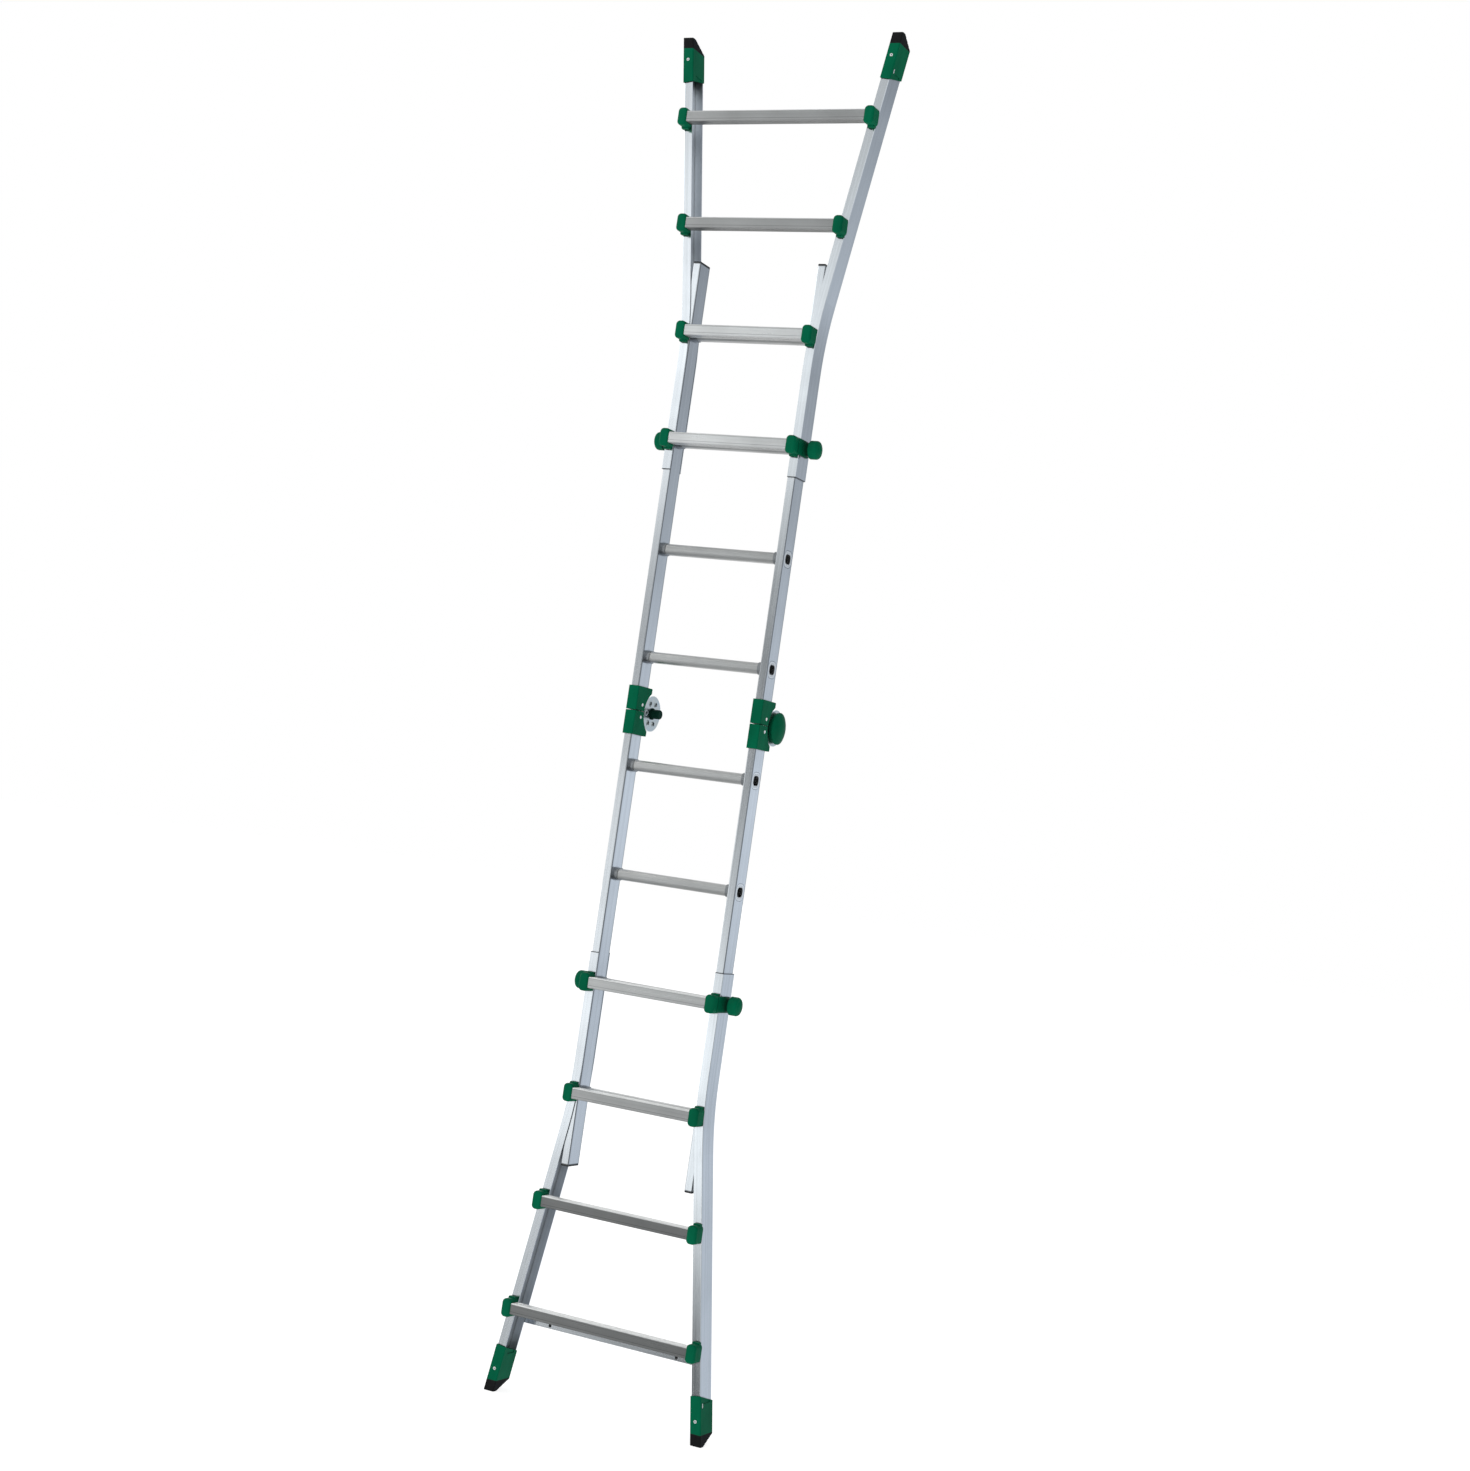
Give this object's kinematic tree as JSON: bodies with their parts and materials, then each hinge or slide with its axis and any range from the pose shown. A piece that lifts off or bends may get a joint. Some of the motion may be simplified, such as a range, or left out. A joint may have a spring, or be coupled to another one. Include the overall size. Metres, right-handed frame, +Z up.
{
  "type": "telescopic hinged ladder",
  "caption": "Multi-position ladder with flared ends: outer sections slide over straight inner sections that fold on lockable hinges; knobs lock the slides.",
  "frame": {"origin": "middle of the bounding box on the floor, between the feet", "axes": "+Z up along the ladder, +X along the rungs to the right as seen from the climbing side, +Y to the back"},
  "size_m": [0.621, 0.185, 3.52],
  "materials": {
    "stile_aluminium": "mill finish extrusion",
    "rung_aluminium": "brushed extrusion",
    "green_plastic": "moulded, fine grain",
    "dark_green_plastic": "moulded",
    "dark_plastic": "moulded",
    "black_rubber": "moulded",
    "plated_steel": "zinc plated",
    "rivet_steel": "plain"
  },
  "bodies": {
    "lower_outer": {"lower_boot_left": "green_plastic", "lower_boot_right": "green_plastic", "lower_boot_rivets": "rivet_steel", "lower_lock_bracket_left": "green_plastic", "lower_lock_bracket_right": "green_plastic", "lower_outer_rung_1": "rung_aluminium", "lower_outer_rung_2": "rung_aluminium", "lower_outer_rung_3": "rung_aluminium", "lower_outer_rung_4": "rung_aluminium", "lower_outer_stile_left": "stile_aluminium", "lower_outer_stile_right": "stile_aluminium", "lower_rubber_tips": "black_rubber", "lower_rung_caps": "green_plastic", "brace_bar": "rung_aluminium", "brace_rivets": "rivet_steel"},
    "lower_inner": {"lower_end_plugs": "dark_plastic", "lower_hinge_rivets": "rivet_steel", "lower_hinge_sleeve_left": "green_plastic", "lower_hinge_sleeve_right": "green_plastic", "lower_inner_rungs": "rung_aluminium", "lower_inner_stile_left": "stile_aluminium", "lower_inner_stile_right": "stile_aluminium", "hinge_tongue_left": "plated_steel", "hinge_tongue_right": "plated_steel", "pivot_bushes": "plated_steel"},
    "upper_inner": {"upper_end_plugs": "dark_plastic", "upper_hinge_rivets": "rivet_steel", "upper_hinge_sleeve_left": "green_plastic", "upper_hinge_sleeve_right": "green_plastic", "upper_inner_rungs": "rung_aluminium", "upper_inner_stile_left": "stile_aluminium", "upper_inner_stile_right": "stile_aluminium", "hinge_clevis_left": "plated_steel", "hinge_clevis_right": "plated_steel"},
    "upper_outer": {"upper_boot_left": "green_plastic", "upper_boot_right": "green_plastic", "upper_boot_rivets": "rivet_steel", "upper_lock_bracket_left": "green_plastic", "upper_lock_bracket_right": "green_plastic", "upper_outer_rung_1": "rung_aluminium", "upper_outer_rung_2": "rung_aluminium", "upper_outer_rung_3": "rung_aluminium", "upper_outer_rung_4": "rung_aluminium", "upper_outer_stile_left": "stile_aluminium", "upper_outer_stile_right": "stile_aluminium", "upper_rubber_tips": "black_rubber", "upper_rung_caps": "green_plastic"},
    "lower_lock_left": {"lower_lock_knob_left": "green_plastic", "lower_lock_pin_left": "plated_steel"},
    "lower_lock_right": {"lower_lock_knob_right": "green_plastic", "lower_lock_pin_right": "plated_steel"},
    "upper_lock_left": {"upper_lock_knob_left": "green_plastic", "upper_lock_pin_left": "plated_steel"},
    "upper_lock_right": {"upper_lock_knob_right": "green_plastic", "upper_lock_pin_right": "plated_steel"},
    "release_left": {"release_knob_left": "green_plastic", "release_rod_left": "dark_green_plastic"},
    "release_right": {"release_knob_right": "green_plastic", "release_rod_right": "dark_green_plastic"}
  },
  "joints": [
    {"name": "lower_slide", "type": "slide", "parent": "lower_outer", "child": "lower_inner", "axis": [0, 0, -1], "range_m": [0, 0.56]},
    {"name": "fold", "type": "hinge", "parent": "lower_inner", "child": "upper_inner", "pos_m": [0, 0.0465, 1.76], "axis": [-1, 0, 0], "range_deg": [0, 180]},
    {"name": "upper_slide", "type": "slide", "parent": "upper_inner", "child": "upper_outer", "axis": [0, 0, -1], "range_m": [0, 0.56]},
    {"name": "lower_lock_left_push", "type": "slide", "parent": "lower_outer", "child": "lower_lock_left", "axis": [1, 0, 0], "range_m": [0, 0.009]},
    {"name": "lower_lock_right_push", "type": "slide", "parent": "lower_outer", "child": "lower_lock_right", "axis": [-1, 0, 0], "range_m": [0, 0.009]},
    {"name": "upper_lock_left_push", "type": "slide", "parent": "upper_outer", "child": "upper_lock_left", "axis": [1, 0, 0], "range_m": [0, 0.009]},
    {"name": "upper_lock_right_push", "type": "slide", "parent": "upper_outer", "child": "upper_lock_right", "axis": [-1, 0, 0], "range_m": [0, 0.009]},
    {"name": "release_left_pull", "type": "slide", "parent": "lower_inner", "child": "release_left", "axis": [-1, 0, 0], "range_m": [0, 0.01], "stiffness_N_per_m": 900},
    {"name": "release_right_pull", "type": "slide", "parent": "lower_inner", "child": "release_right", "axis": [1, 0, 0], "range_m": [0, 0.01], "stiffness_N_per_m": 900}
  ]
}
